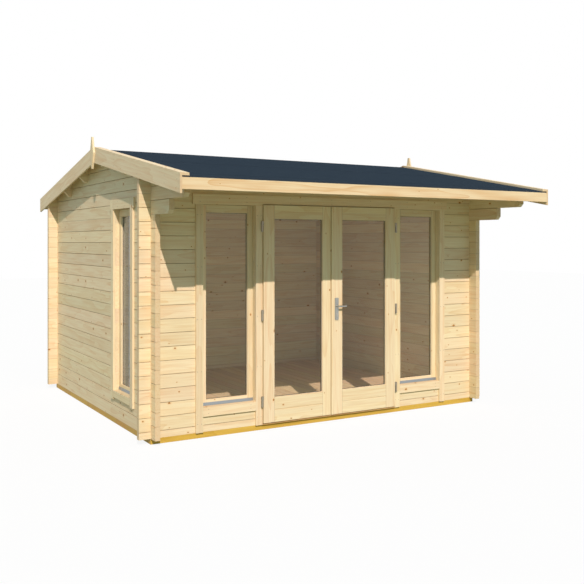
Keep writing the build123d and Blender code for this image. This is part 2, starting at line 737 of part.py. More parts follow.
# Cover strip on the meeting edge of the right leaf
with BuildPart() as meeting_strip:
    with BuildSketch(Plane.XZ.offset(-leaf_front)):
        with Locations((meeting_edge, leaf_bottom)):
            Rectangle(strip_width, leaf_top - leaf_bottom, align=(Align.MIN, Align.MIN))
    extrude(amount=strip_proud)
    chamfer(meeting_strip.faces().sort_by(Axis.Y)[0].edges().filter_by(Axis.Z), strip_proud / 2)
meeting_strip.part.label = "meeting_strip"
export_step(meeting_strip.part, "parts/meeting_strip.step")

# Hinges: the leaf's knuckle turns on a pin that stands up from the knuckle on the casing
casing_front = front_y - trim
leaf_knuckle_base = knuckle_height / 2 - leaf_knuckle
frame_knuckle_height = knuckle_height - leaf_knuckle - knuckle_gap
frame_knuckle_top = leaf_knuckle_base - knuckle_gap
with BuildPart() as right_leaf_hinges:
    for z in hinge_heights:
        with BuildSketch(Plane.XY.offset(z + leaf_knuckle_base)):
            with Locations((hinge_x, hinge_y)):
                Circle(knuckle_radius)
                Rectangle(hinge_offset, lug_width, align=(Align.MAX, Align.CENTER))
                Circle(pin_radius + pin_clearance, mode=Mode.SUBTRACT)
        extrude(amount=leaf_knuckle)
right_leaf_hinges.part.label = "right_leaf_hinges"
export_step(right_leaf_hinges.part, "parts/right_leaf_hinges.step")

with BuildPart() as left_leaf_hinges:
    mirror(right_leaf_hinges.part, about=Plane.YZ)
left_leaf_hinges.part.label = "left_leaf_hinges"
export_step(left_leaf_hinges.part, "parts/left_leaf_hinges.step")

with BuildPart() as frame_hinges:
    for z in hinge_heights:
        with BuildSketch(Plane.XY.offset(z - knuckle_height / 2)):
            with Locations((hinge_x, hinge_y)):
                Circle(knuckle_radius)
                Rectangle(lug_width, casing_front - hinge_y, align=(Align.CENTER, Align.MIN))
        extrude(amount=frame_knuckle_height)
        with BuildSketch(Plane.XY.offset(z + frame_knuckle_top)):
            with Locations((hinge_x, hinge_y)):
                Circle(pin_radius)
        extrude(amount=pin_length)
    mirror(about=Plane.YZ)
frame_hinges.part.label = "frame_hinges"
export_step(frame_hinges.part, "parts/frame_hinges.step")

# Handle plates outside and inside, the lever of mitred round bar through both, and the lock cylinder
with BuildPart() as handle_plates:
    with BuildSketch(Plane.XZ.offset(-leaf_front)):
        with Locations((handle_x, plate_z)):
            RectangleRounded(plate_width, plate_height, plate_width / 4)
        with Locations((handle_x, handle_z)):
            Circle(neck_radius + neck_clearance, mode=Mode.SUBTRACT)
        with Locations((handle_x, lock_z)):
            Circle(lock_radius, mode=Mode.SUBTRACT)
            Rectangle(lock_tail_width, lock_tail, align=(Align.CENTER, Align.MAX), mode=Mode.SUBTRACT)
    extrude(amount=plate_thickness)
    with BuildSketch(Plane.XZ.offset(-leaf_back)):
        with Locations((handle_x, plate_z)):
            RectangleRounded(plate_width, plate_height, plate_width / 4)
        with Locations((handle_x, handle_z)):
            Circle(neck_radius + neck_clearance, mode=Mode.SUBTRACT)
        with Locations((handle_x, lock_z)):
            Circle(lock_radius, mode=Mode.SUBTRACT)
            Rectangle(lock_tail_width, lock_tail, align=(Align.CENTER, Align.MAX), mode=Mode.SUBTRACT)
    extrude(amount=-plate_thickness)
handle_plates.part.label = "handle_plates"
export_step(handle_plates.part, "parts/handle_plates.step")

neck_start = 1
outer_neck = leaf_front - neck_start
inner_neck = leaf_back + neck_start
outer_grip = leaf_front - plate_thickness - lever_stand
inner_grip = leaf_back + plate_thickness + lever_stand
with BuildPart() as lever:
    with BuildSketch(Plane.XZ.offset(-outer_neck)):
        with Locations((handle_x, handle_z)):
            Circle(neck_radius)
    extrude(amount=plate_thickness + neck_start)
    with BuildSketch(Plane.XZ.offset(-inner_neck)):
        with Locations((handle_x, handle_z)):
            Circle(neck_radius)
    extrude(amount=-plate_thickness - neck_start)
    with BuildSketch(Plane.XZ.offset(-inner_neck)):
        with Locations((handle_x, handle_z)):
            Circle(spindle_radius)
    extrude(amount=inner_neck - outer_neck)
    with BuildLine():
        Polyline((handle_x, outer_neck - plate_thickness, handle_z), (handle_x, outer_grip, handle_z),
                 (handle_x + lever_length, outer_grip, handle_z))
    with BuildSketch(Plane.XZ.offset(plate_thickness - outer_neck)):
        with Locations((handle_x, handle_z)):
            Circle(lever_radius)
    sweep(transition=Transition.RIGHT)
    with BuildLine():
        Polyline((handle_x, inner_neck + plate_thickness, handle_z), (handle_x, inner_grip, handle_z),
                 (handle_x + lever_length, inner_grip, handle_z))
    with BuildSketch(Plane.XZ.offset(-inner_neck - plate_thickness)):
        with Locations((handle_x, handle_z)):
            Circle(lever_radius)
    sweep(transition=Transition.RIGHT)
lever.part.label = "lever"
export_step(lever.part, "parts/lever.step")

with BuildPart() as lock_cylinder:
    with BuildSketch(Plane.XZ.offset(-leaf_front + plate_thickness + lock_proud)):
        with Locations((handle_x, lock_z)):
            Circle(lock_radius)
            Rectangle(lock_tail_width, lock_tail, align=(Align.CENTER, Align.MAX))
    extrude(amount=-(leaf_thickness + 2 * plate_thickness + 2 * lock_proud))
lock_cylinder.part.label = "lock_cylinder"
export_step(lock_cylinder.part, "parts/lock_cylinder.step")
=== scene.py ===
# %% [markdown]
# # A garden log cabin, dressed over its solid model
#
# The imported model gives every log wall, board, door and hinge at its true place and size. This lesson gives them
# their surfaces, and adds the small things that solids leave out: the joints between roof and floor boards, the
# laps of the roofing felt, glazing beads, seals, screws and nails. Everything is in metres. X points right, Y to
# the back and Z up, and the origin is on the ground under the middle of the ridge.

# %% Load the solid model
import math

import bmesh
import bpy
import numpy as np
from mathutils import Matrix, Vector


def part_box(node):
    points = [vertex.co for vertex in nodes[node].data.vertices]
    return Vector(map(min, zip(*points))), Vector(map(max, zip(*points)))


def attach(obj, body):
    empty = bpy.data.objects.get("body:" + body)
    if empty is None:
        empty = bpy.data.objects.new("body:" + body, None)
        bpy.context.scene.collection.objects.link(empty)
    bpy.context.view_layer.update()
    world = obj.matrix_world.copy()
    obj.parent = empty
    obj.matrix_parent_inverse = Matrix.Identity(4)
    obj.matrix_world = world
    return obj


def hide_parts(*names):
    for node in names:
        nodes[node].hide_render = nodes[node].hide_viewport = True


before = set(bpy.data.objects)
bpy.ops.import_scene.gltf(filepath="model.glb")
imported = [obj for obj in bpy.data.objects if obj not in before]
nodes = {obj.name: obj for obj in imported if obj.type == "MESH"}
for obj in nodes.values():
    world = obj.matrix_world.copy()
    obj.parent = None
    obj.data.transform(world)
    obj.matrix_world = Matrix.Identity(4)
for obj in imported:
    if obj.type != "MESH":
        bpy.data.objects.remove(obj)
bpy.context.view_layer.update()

# %% [markdown]
# ## The camera
#
# In the photograph all upright edges are parallel, so the camera was level and the picture was framed by shifting
# the lens down, as an architectural photographer does. A tilted camera would make the walls lean, so the same
# level camera with a small shift is used. Its place and lens were worked out from the edges of the roof and walls.

# %% Place the camera
camera = bpy.data.objects.new("camera", bpy.data.cameras.new("camera"))
bpy.context.scene.collection.objects.link(camera)
camera.location = (-4.0770, -7.4089, 1.6513)
camera.rotation_euler = (math.radians(90), 0, math.radians(-30.5))
camera.data.sensor_width = 36
camera.data.lens = 49.54
camera.data.shift_y = -0.0861
camera.data.clip_end = 100
bpy.context.scene.camera = camera
bpy.context.scene.view_settings.view_transform = "Standard"
print("camera", tuple(round(v, 3) for v in camera.location), "lens", camera.data.lens)

# %% [markdown]
# ## Helpers for materials
#
# A material here is a small graph of nodes. Written out in full each graph would be long, so a short class keeps
# the tree and adds one node a call. Every pattern reads the object's own coordinates: all pieces have their origin
# at the world's origin, so a metre in the texture is a metre on the cabin, and nothing has to be unwrapped.


# %% A small helper that builds node trees
class Graph:
    """A material's node tree. Each method adds one node and returns the socket that leaves it."""

    def __init__(self, name):
        self.material = bpy.data.materials.new(name)
        self.material.use_nodes = True
        self.tree = self.material.node_tree
        self.shader = self.tree.nodes["Principled BSDF"]
        self.output = self.tree.nodes["Material Output"]

    def add(self, kind, *inputs, **settings):
        """One node of this kind: settings are its properties, inputs go to its sockets in order, None skips one."""
        node = self.tree.nodes.new("ShaderNode" + kind)
        for key, value in settings.items():
            setattr(node, key, value)
        for socket, value in zip(node.inputs, inputs):
            self.put(socket, value)
        return node.outputs[0]

    def put(self, socket, value):
        """Links a socket to another node's output, or sets it to a plain value."""
        if isinstance(value, bpy.types.NodeSocket):
            self.tree.links.new(value, socket)
        elif value is not None:
            socket.default_value = value

    def math(self, operation, a, b=None, c=None, clamp=False):
        """One sum: the operation on a, b and c."""
        return self.add("Math", a, b, c, operation=operation, use_clamp=clamp)

    def step(self, value, low, high):
        """A smooth step: 0 where value is at low, 1 where it is at high."""
        node = self.tree.nodes.new("ShaderNodeMapRange")
        node.interpolation_type = "SMOOTHSTEP"
        self.put(node.inputs["Value"], value)
        self.put(node.inputs["From Min"], low)
        self.put(node.inputs["From Max"], high)
        return node.outputs["Result"]

    def vector(self, x, y, z):
        """A vector from three numbers or sockets."""
        return self.add("CombineXYZ", x, y, z)

    def mix(self, factor, a, b):
        """Colour a turned towards colour b by factor."""
        node = self.tree.nodes.new("ShaderNodeMix")
        node.data_type = "RGBA"
        self.put(node.inputs["Factor"], factor)
        self.put(node.inputs[6], a)
        self.put(node.inputs[7], b)
        return node.outputs[2]

    def noise(self, vector, scale, detail=3.0, roughness=0.5):
        """Soft random blotches: one value a place, about 0.5 on average."""
        node = self.tree.nodes.new("ShaderNodeTexNoise")
        self.put(node.inputs["Vector"], vector)
        node.inputs["Scale"].default_value = scale
        node.inputs["Detail"].default_value = detail
        node.inputs["Roughness"].default_value = roughness
        return node.outputs["Fac"]

    def place(self):
        """The three object coordinates, as a dictionary, and the surface normal in object space."""
        coordinates = self.tree.nodes.new("ShaderNodeTexCoord")
        split = self.tree.nodes.new("ShaderNodeSeparateXYZ")
        self.tree.links.new(coordinates.outputs["Object"], split.inputs[0])
        return dict(zip("XYZ", split.outputs)), coordinates.outputs["Normal"]


def rgb(red, green, blue):
    """A colour as it looks on a screen, 0 to 255 a channel, turned into the linear values that shaders use."""
    channels = np.array([red, green, blue]) / 255
    linear = np.where(channels <= 0.04045, channels / 12.92, ((channels + 0.055) / 1.055) ** 2.4)
    return (*[float(v) for v in linear], 1.0)


print("helpers ready; pine is", [round(v, 3) for v in rgb(240, 212, 160)])

# %% [markdown]
# ## Planed pine: which board a point lies in
#
# The cabin is nearly all one wood: pale planed pine with soft growth rings, fine fibres and small brown knots. A flat
# colour or a single noise looks like plastic, so the material is solid, as a slice of a trunk is, and is built in
# steps. The first step finds which board a point lies in. Each board gets a random shift, so no two are alike.

# %% Number the boards
PLAIN_BOARD = 0.31
SIDE_STEP = 0.6
PLACE_SHIFT = 20.0


def board_values(g, u, v, w, pitch, start, crosswise):
    """Board number = floor((v - start) / pitch), and every 0.6 m along w starts another set. The number seeds a white
    noise. Returns v from the board's middle, u shifted by chance, the tint, and three chances of 0 to 1."""
    if pitch:
        board = g.math("FLOOR", g.math("DIVIDE", g.math("SUBTRACT", v, start), pitch))
        middle = g.math("MULTIPLY_ADD", g.math("ADD", board, 0.5), pitch, start)
        v_in = g.math("SUBTRACT", v, middle)
    else:
        board = g.math("FLOOR", g.math("DIVIDE", v, PLAIN_BOARD))
        v_in = v
    side_number = g.math("FLOOR", g.math("DIVIDE", w, SIDE_STEP))
    seed = g.math("MULTIPLY_ADD", side_number, 17.3, board)
    if crosswise is not None:
        seed = g.math("MULTIPLY_ADD", crosswise, 5.7, seed)
    white = g.tree.nodes.new("ShaderNodeTexWhiteNoise")
    white.noise_dimensions = "1D"
    g.put(white.inputs["W"], seed)
    parts = g.tree.nodes.new("ShaderNodeSeparateColor")
    g.put(parts.inputs[0], white.outputs["Color"])
    shift_u = g.math("MULTIPLY_ADD", parts.outputs[0], PLACE_SHIFT, u)
    return v_in, shift_u, white.outputs["Value"], parts.outputs


print("boards are", PLAIN_BOARD, "m wide where no course is given")

# %% [markdown]
# ## Knots
#
# Knots come from a cell pattern: each cell is as high as a board, and may hold one. The distance to the cell's own
# point is measured in true metres, so a knot keeps its form whatever shape the cells have. It is drawn out a little
# along the grain, as a branch is when a board is sawn along the trunk.

# %% Place the knots
KNOT_CELL = 0.26
KNOT_CELL_HIGH = 0.11
KNOT_STRETCH = 1.35
KNOT_LEAST = 0.0036
KNOT_SPREAD = 0.0085
HALO = 2.6


def knot_pattern(g, u, v, w, shift_u, pitch, share):
    """A cell holds a knot if its chance is under share. Distance = sqrt((du / 1.35) ^ 2 + dv ^ 2), wobbled by 2 mm
    either way. Radius = 3.6 mm + 8.5 mm * chance ^ 3. Returns distance, radius, the knot (0 to 1) and its halo."""
    cell_high = pitch if pitch else KNOT_CELL_HIGH
    cell_u = g.math("DIVIDE", shift_u, KNOT_CELL)
    cell_v = g.math("DIVIDE", v, cell_high)
    cells = g.tree.nodes.new("ShaderNodeTexVoronoi")
    cells.voronoi_dimensions = "2D"
    cells.inputs["Scale"].default_value = 1.0
    g.put(cells.inputs["Vector"], g.vector(cell_u, cell_v, 0.0))
    spot = g.tree.nodes.new("ShaderNodeSeparateXYZ")
    g.put(spot.inputs[0], cells.outputs["Position"])
    away_u = g.math("MULTIPLY", g.math("SUBTRACT", cell_u, spot.outputs[0]), KNOT_CELL / KNOT_STRETCH)
    away_v = g.math("MULTIPLY", g.math("SUBTRACT", cell_v, spot.outputs[1]), cell_high)
    wobble = g.noise(g.vector(u, v, w), 90.0, 2.0)
    away = g.math("SQRT", g.math("ADD", g.math("POWER", away_u, 2.0), g.math("POWER", away_v, 2.0)))
    away = g.math("MULTIPLY_ADD", wobble, 0.004, g.math("SUBTRACT", away, 0.002))
    chance = g.tree.nodes.new("ShaderNodeSeparateColor")
    g.put(chance.inputs[0], cells.outputs["Color"])
    has_knot = g.math("LESS_THAN", chance.outputs[0], share)
    radius = g.math("MULTIPLY_ADD", g.math("POWER", chance.outputs[1], 3.0), KNOT_SPREAD, KNOT_LEAST)
    knot = g.math("MULTIPLY", has_knot, g.step(away, radius, g.math("MULTIPLY", radius, 0.72)))
    near_knot = g.math("MULTIPLY", has_knot, g.step(away, g.math("MULTIPLY", radius, HALO), radius))
    return away, radius, knot, near_knot


print("knots are", KNOT_LEAST, "to", KNOT_LEAST + KNOT_SPREAD, "m in radius")

# %% [markdown]
# ## Growth rings and fibres
#
# The rings run about a pith that lies beside each board, at its own place. A wave texture of the distance to that
# line gives long arches on the faces and rings on the ends. The line swings slowly along the board and bends round
# knots. Two noises drawn out along the grain add broad streaks and fine fibres.

# %% Draw rings, fibres and streaks
RING_SCALE = 34.0
PITH_SPREAD = 0.10
SWING = 0.040
KNOT_BEND = 0.010
FIBRE_FINE = 95.0
STREAK_FINE = 50.0


def grain_pattern(g, shift_u, v, w, v_in, chances, near_knot):
    """Rings = saw wave of the distance from a pith at (v_in + spread * (chance - 0.5), w + spread * chance + swing *
    noise + bend * halo). Fibres and streaks = noises 43 and 25 times longer along u. Returns all three."""
    pith_v = g.math("MULTIPLY_ADD", g.math("SUBTRACT", chances[1], 0.5), PITH_SPREAD, v_in)
    pith_w = g.math("MULTIPLY_ADD", chances[2], PITH_SPREAD, w)
    swing = g.noise(g.vector(g.math("MULTIPLY", shift_u, 0.7), g.math("MULTIPLY", v, 4.0), w), 1.5, 2.0)
    pith_w = g.math("MULTIPLY_ADD", swing, SWING, pith_w)
    pith_w = g.math("MULTIPLY_ADD", near_knot, KNOT_BEND, pith_w)
    rings = g.tree.nodes.new("ShaderNodeTexWave")
    rings.wave_type = "RINGS"
    rings.rings_direction = "X"
    rings.wave_profile = "SAW"
    rings.inputs["Scale"].default_value = RING_SCALE
    rings.inputs["Distortion"].default_value = 1.0
    rings.inputs["Detail"].default_value = 2.0
    rings.inputs["Detail Scale"].default_value = 0.35
    g.put(rings.inputs["Vector"], g.vector(g.math("MULTIPLY", shift_u, 0.05), pith_v, pith_w))
    fibre_place = g.vector(g.math("MULTIPLY", shift_u, 2.2), g.math("MULTIPLY", v, FIBRE_FINE),
                           g.math("MULTIPLY", w, FIBRE_FINE))
    fibres = g.noise(fibre_place, 2.0, 4.0, 0.6)
    streak_place = g.vector(g.math("MULTIPLY", shift_u, 2.0), g.math("MULTIPLY", v, STREAK_FINE),
                            g.math("MULTIPLY", w, STREAK_FINE))
    return rings.outputs["Fac"], fibres, g.noise(streak_place, 1.3, 3.0)


print("ring scale", RING_SCALE)

# %% [markdown]
# ## Colour of the wood
#
# Early wood is pale and late wood deeper. Each board has its own brightness and a hue that is a shade redder or
# greener. Knots get a dark core, a lighter rim and a warm halo.

# %% Colour the wood and its knots
def wood_colour(g, rings, fibres, streaks, ring_contrast, light, dark, tint, chance):
    """Late wood = ring_contrast * rings ^ 2.5 + 1.2 * (streaks - 0.42), held to 0 to 1. Colour goes from light to
    dark by it, then towards a darker tone by 0.3 * fibres. Value = 0.91 + 0.13 * tint, hue = 0.49 + 0.016 * chance."""
    late = g.math("MULTIPLY", g.math("POWER", rings, 2.5), ring_contrast)
    late = g.math("MULTIPLY_ADD", g.math("SUBTRACT", streaks, 0.42), 1.20, late, clamp=True)
    colour = g.mix(late, rgb(*light), rgb(*dark))
    colour = g.mix(g.math("MULTIPLY", fibres, 0.30), colour, rgb(*[c * 0.86 for c in dark]))
    adjust = g.tree.nodes.new("ShaderNodeHueSaturation")
    g.put(adjust.inputs["Hue"], g.math("MULTIPLY_ADD", chance, 0.016, 0.490))
    g.put(adjust.inputs["Value"], g.math("MULTIPLY_ADD", tint, 0.13, 0.91))
    g.put(adjust.inputs["Color"], colour)
    return adjust.outputs["Color"]


def knot_colour(g, colour, away, radius, knot, near_knot):
    """Halo of 0.26 over the wood, then the knot over it: core inside 0.45 of the radius, rim from 0.9 of it."""
    colour = g.mix(g.math("MULTIPLY", near_knot, 0.26), colour, rgb(232, 178, 106))
    core = g.step(away, g.math("MULTIPLY", radius, 0.45), g.math("MULTIPLY", radius, 0.9))
    return g.mix(knot, colour, g.mix(core, rgb(190, 134, 66), rgb(122, 78, 36)))


print("knot core", [round(v, 3) for v in rgb(122, 78, 36)])

# %% [markdown]
# ## The whole pine material
#
# The steps are put together here, with what lies on top of them: end grain is darker, and painted shade is drawn as a
# hair line where rails meet stiles and as a thin dark line where two logs or boards meet, for the shade in those
# joints. The relief is small, and sharp edges are worn round by a bevel, because planed timber never has a perfect
# edge.

# %% The pine material
END_GRAIN = rgb(186, 138, 84)
# Colour of the painted shade drawn in the joints, between rails and stiles and between logs or boards
JOINT_SHADE_COLOUR = rgb(120, 84, 46)


def pine(name, grain="X", across="Z", pitch=0.0, start=0.0, light=(249, 233, 196), dark=(229, 189, 134),
         slope=0.0, rails=None, fold=False, knots=0.5, seam=0.0, ring_contrast=0.34):
    """Solid pine. u runs along the grain, v across the boards, w is the third way. slope turns v with the roof: v = Z
    + slope * |Y|. rails is (centre, half width, axis) of the part where the grain lies crosswise, as in the rails
    of a door: there u and v are swapped. Roughness = 0.46 + 0.22 * fibres. Height = 0.7 * fibres + 0.5 * rings -
    0.8 * knot."""
    g = Graph(name)
    xyz, normal = g.place()
    third = [a for a in "XYZ" if a not in (grain, across)][0]
    u, v, w = xyz[grain], xyz[across], xyz[third]
    crosswise = rail_joint_shade = None
    if slope:
        v = g.math("MULTIPLY_ADD", g.math("ABSOLUTE", xyz["Y"]), slope, v)
    if rails:
        centre, half, axis = rails
        side = g.math("ABSOLUTE", xyz[axis]) if fold else xyz[axis]
        from_centre = g.math("ABSOLUTE", g.math("SUBTRACT", side, centre))
        crosswise = g.math("LESS_THAN", from_centre, half)
        rail_joint_shade = g.step(g.math("ABSOLUTE", g.math("SUBTRACT", from_centre, half)), 0.0016, 0.0004)
        swapped_u = g.math("MULTIPLY_ADD", crosswise, g.math("SUBTRACT", v, u), u)
        v = g.math("MULTIPLY_ADD", crosswise, g.math("SUBTRACT", u, v), v)
        u = swapped_u

    v_in, shift_u, tint, chances = board_values(g, u, v, w, pitch, start, crosswise)
    away, radius, knot, near_knot = knot_pattern(g, u, v, w, shift_u, pitch, knots)
    rings, fibres, streaks = grain_pattern(g, shift_u, v, w, v_in, chances, near_knot)
    colour = wood_colour(g, rings, fibres, streaks, ring_contrast, light, dark, tint, chances[2])
    colour = knot_colour(g, colour, away, radius, knot, near_knot)

    # End grain, and painted shade in the joints: the line between rail and stile, and the seam between two boards
    facing = g.tree.nodes.new("ShaderNodeSeparateXYZ")
    g.put(facing.inputs[0], normal)
    toward = {axis: g.math("ABSOLUTE", facing.outputs["XYZ".index(axis)]) for axis in "XYZ"}
    colour = g.mix(g.math("MULTIPLY", g.step(toward[grain], 0.6, 0.9), 0.30), colour, END_GRAIN)
    if rails:
        # Painted shade: a hair line where a rail meets a stile, standing for the shade in that joint
        line = g.math("MULTIPLY", rail_joint_shade, g.step(toward[third], 0.5, 0.7))
        colour = g.mix(g.math("MULTIPLY", line, 0.6), colour, JOINT_SHADE_COLOUR)
    if seam:
        # Painted shade: a thin dark line along each joint between logs or boards, standing for the shade in the joint
        edge = g.math("SUBTRACT", 0.5, g.math("ABSOLUTE", g.math("DIVIDE", v_in, pitch)))
        line = g.step(g.math("MULTIPLY", edge, pitch), seam, seam * 0.5)
        line = g.math("MULTIPLY", line, g.step(toward[across], 0.985, 0.96))
        colour = g.mix(g.math("MULTIPLY", line, 0.32), colour, JOINT_SHADE_COLOUR)
    g.put(g.shader.inputs["Base Color"], colour)
    g.put(g.shader.inputs["Roughness"], g.math("MULTIPLY_ADD", fibres, 0.22, 0.46))
    g.shader.inputs["Specular IOR Level"].default_value = 0.28

    # Relief over worn edges
    height = g.math("MULTIPLY_ADD", fibres, 0.7, g.math("MULTIPLY", rings, 0.5))
    height = g.math("MULTIPLY_ADD", knot, -0.8, height)
    worn = g.tree.nodes.new("ShaderNodeBevel")
    worn.samples = 4
    worn.inputs["Radius"].default_value = 0.0025
    relief = g.tree.nodes.new("ShaderNodeBump")
    relief.inputs["Strength"].default_value = 0.28
    relief.inputs["Distance"].default_value = 0.0006
    g.put(relief.inputs["Height"], height)
    g.put(relief.inputs["Normal"], worn.outputs["Normal"])
    g.put(g.shader.inputs["Normal"], relief.outputs["Normal"])
    return g.material


def dress(material, *names):
    """Gives a material to these nodes or pieces, in every slot they have."""
    for name in names:
        thing = nodes[name] if isinstance(name, str) else name
        if not thing.data.materials:
            thing.data.materials.append(material)
        for slot in thing.material_slots:
            slot.link = "OBJECT"
            slot.material = material


# %% [markdown]
# ## Logs, beams and boards
#
# One function makes every kind of timber; what changes is the way the grain runs and the height of a course. The
# front and back walls start with half a log, and the gable walls with a whole one, so their boards are numbered
# from different heights. The base beams are treated against rot, which turns them yellow.

# %% Materials of the logs and the frame of the building
COURSE = 0.114
BASE = 0.0465
ROOF_SLOPE = math.tan(math.radians(10.65))
PURLIN_STEP = 0.595
WINDOW_X = 1.041
GABLE_WINDOW_Y = -0.506
LEAF_X = 0.360
# seam is the width of the painted shade line along each joint between two logs
front_logs = pine("pine front logs", "X", "Z", COURSE, BASE + COURSE / 2, seam=0.003)
gable_logs = pine("pine gable logs", "Y", "Z", COURSE, BASE, seam=0.003)
dress(front_logs, "front_wall_left", "front_wall_right", "front_wall_header", "back_wall")
dress(gable_logs, "left_gable_wall", "right_gable_wall", "left_gable_top", "right_gable_top")
dress(pine("pine purlins", "X", "Y", PURLIN_STEP, -PURLIN_STEP / 2), "purlins")
treated = dict(light=(232, 190, 88), dark=(194, 148, 52))
dress(pine("treated pine front beams", "X", "Z", **treated), "long_base_beams")
dress(pine("treated pine bearers", "X", "Y", 0.3, 0.0, **treated), "floor_bearers")
print("log materials made")

# %% Materials of the boards round the roof and the openings
dress(pine("pine bargeboards", "Y", "Z", 0.4, 2.25, slope=ROOF_SLOPE), "front_bargeboards", "back_bargeboards")
dress(pine("pine cap strips", "Y", "X", 0.2, 0.1, knots=0.3), "front_barge_caps", "back_barge_caps")
dress(pine("pine uprights", "Z", "X", 0.2, 0.1), "front_casings", "finials")
dress(pine("pine long boards", "X", "Z"), "head_board", "sill_boards")
dress(pine("pine fascias", "X", "Z", 0.4, 1.8, light=(248, 230, 188), dark=(226, 184, 124), knots=0.6,
           ring_contrast=0.60), "fascias")
dress(pine("pine gable casings", "Z", "Y", rails=(GABLE_WINDOW_Y, 0.2277, "Y")), "gable_window_casings")
print("board materials made")

# %% [markdown]
# ## Windows, doors and their frames
#
# Frames, sashes and doors are joined timber: the stiles run the full height with upright grain, and the rails sit
# between them with level grain. One mesh holds both, so the material swaps the two directions inside the width of
# the rails, and draws a hair line of painted shade where they meet, for the shade in the joint.

# %% Materials of joinery
STILE = 0.050
SASH_BOTTOM_RAIL = 0.045
SASH_TOP_RAIL = 0.062
SASH_HALF = 0.249
GABLE_SASH_HALF = 0.226
dress(pine("pine window frames", "Z", "X", 0.13, 0.0, rails=(WINDOW_X, 0.251, "X"), fold=True),
      "front_window_frames")
dress(pine("pine window sashes", "Z", "X", 0.13, 0.0, rails=(WINDOW_X, SASH_HALF - STILE, "X"), fold=True,
           knots=0.35), "front_window_sashes")
dress(pine("pine gable frame", "Z", "Y", 0.13, 0.0, rails=(GABLE_WINDOW_Y, 0.228, "Y")), "gable_window_frame")
dress(pine("pine gable sash", "Z", "Y", 0.13, 0.0, rails=(GABLE_WINDOW_Y, GABLE_SASH_HALF - STILE, "Y"),
           knots=0.35), "gable_window_sash")
dress(pine("pine door frame", "Z", "X", 0.2, 0.1, rails=(0.0, 0.725, "X"), fold=True), "door_frame")
dress(pine("pine leaves", "Z", "X", 0.12, 0.0, rails=(LEAF_X, 0.252, "X"), fold=True, knots=0.6),
      "left_leaf", "right_leaf")
dress(pine("pine meeting strip", "Z", "X"), "meeting_strip")
dress(pine("threshold wood", "X", "Z", light=(224, 184, 124), dark=(182, 130, 74)), "threshold")
print("joinery materials made")

# %% [markdown]
# ## Glass
#
# Each pane shows the dim room behind a thin veil of reflection. A full refracting glass would darken the room and
# fill it with noise, because light only gets in through other panes. So the pane lets light straight through with
# hardly any tint, and mirrors more at grazing angles, as real glass does. The blue-grey of the mirror isn't a
# property of the glass: it is a painted reflection colour, fitted to the gable window in the photograph, which is
# seen at a slant.


# %% The glass material
# Painted reflection colour: the blue-grey laid over everything the panes mirror
PAINTED_REFLECTION_TINT = (0.42, 0.52, 0.70, 1)


def glass(name, tint):
    """Clear pane. Share mirrored = 0.03 + 0.9 * facing ^ 3, where facing is 1 at a grazing view, else light goes
    straight through and is multiplied by the tint once a face. Mirror roughness = 0.015 + 0.03 * a slow noise."""
    g = Graph(name)
    through = g.tree.nodes.new("ShaderNodeBsdfTransparent")
    through.inputs["Color"].default_value = rgb(*tint)
    mirror = g.tree.nodes.new("ShaderNodeBsdfGlossy")
    mirror.inputs["Color"].default_value = PAINTED_REFLECTION_TINT
    xyz, _ = g.place()
    haze = g.noise(g.vector(xyz["X"], xyz["Y"], xyz["Z"]), 2.2, 1.0)
    g.put(mirror.inputs["Roughness"], g.math("MULTIPLY_ADD", haze, 0.03, 0.015))
    weight = g.tree.nodes.new("ShaderNodeLayerWeight")
    weight.inputs["Blend"].default_value = 0.5
    share = g.math("MULTIPLY_ADD", g.math("POWER", weight.outputs["Facing"], 3.0), 0.9, 0.03, clamp=True)
    both = g.tree.nodes.new("ShaderNodeMixShader")
    g.put(both.inputs[0], share)
    g.put(both.inputs[1], through.outputs[0])
    g.put(both.inputs[2], mirror.outputs[0])
    g.put(g.output.inputs["Surface"], both.outputs[0])
    return g.material


pane = glass("double glazing", (254, 253, 252))
dress(pane, "window_glass", "left_leaf_glass", "right_leaf_glass")
print("glass made")

# %% [markdown]
# ## Metal
#
# The hinges are zinc plated, the handle and the rain bars are anodised aluminium. Both are satin: a fine brushed
# grain blurs the reflections along one way. A stretched noise gives roughness and a faint relief to that grain.


# %% The metal material
def metal(name, colour, roughness, brush="Z", metallic=0.85):
    """Satin metal: roughness = base + 0.15 * noise, with the noise drawn out along the brush direction."""
    g = Graph(name)
    xyz, _ = g.place()
    stretch = {axis: (60.0 if axis == brush else 1800.0) for axis in "XYZ"}
    place = g.vector(*[g.math("MULTIPLY", xyz[a], stretch[a]) for a in "XYZ"])
    grain = g.noise(place, 1.0, 3.0)
    blotch = g.noise(g.vector(xyz["X"], xyz["Y"], xyz["Z"]), 60.0, 2.0)
    tone = g.mix(g.math("MULTIPLY", blotch, 0.3), rgb(*colour), rgb(*[c * 0.82 for c in colour]))
    g.put(g.shader.inputs["Base Color"], tone)
    g.shader.inputs["Metallic"].default_value = metallic
    g.put(g.shader.inputs["Roughness"], g.math("MULTIPLY_ADD", grain, 0.15, roughness))
    relief = g.tree.nodes.new("ShaderNodeBump")
    relief.inputs["Strength"].default_value = 0.12
    relief.inputs["Distance"].default_value = 0.0002
    g.put(relief.inputs["Height"], grain)
    g.put(g.shader.inputs["Normal"], relief.outputs["Normal"])
    return g.material


zinc = metal("zinc plate", (158, 150, 132), 0.38, metallic=0.6)
satin = metal("satin aluminium", (170, 172, 166), 0.34)
drip_metal = metal("anodised rain bar", (150, 158, 162), 0.38, "X", metallic=0.7)
nickel = metal("nickel lock", (190, 186, 176), 0.22)
dress(zinc, "left_leaf_hinges", "right_leaf_hinges", "frame_hinges")
dress(satin, "handle_plates", "lever")
dress(drip_metal, "window_drips")
dress(nickel, "lock_cylinder")
print("metals made")

# %% [markdown]
# ## Roofing felt
#
# The felt is a dark blue-grey sheet with crushed stone pressed into it, which takes all gloss away. Close up it is
# a carpet of grains in several greys; from far off it is one dark tone with faint bands. Two scales of noise give
# the bands, and a fine cell pattern gives the grains.

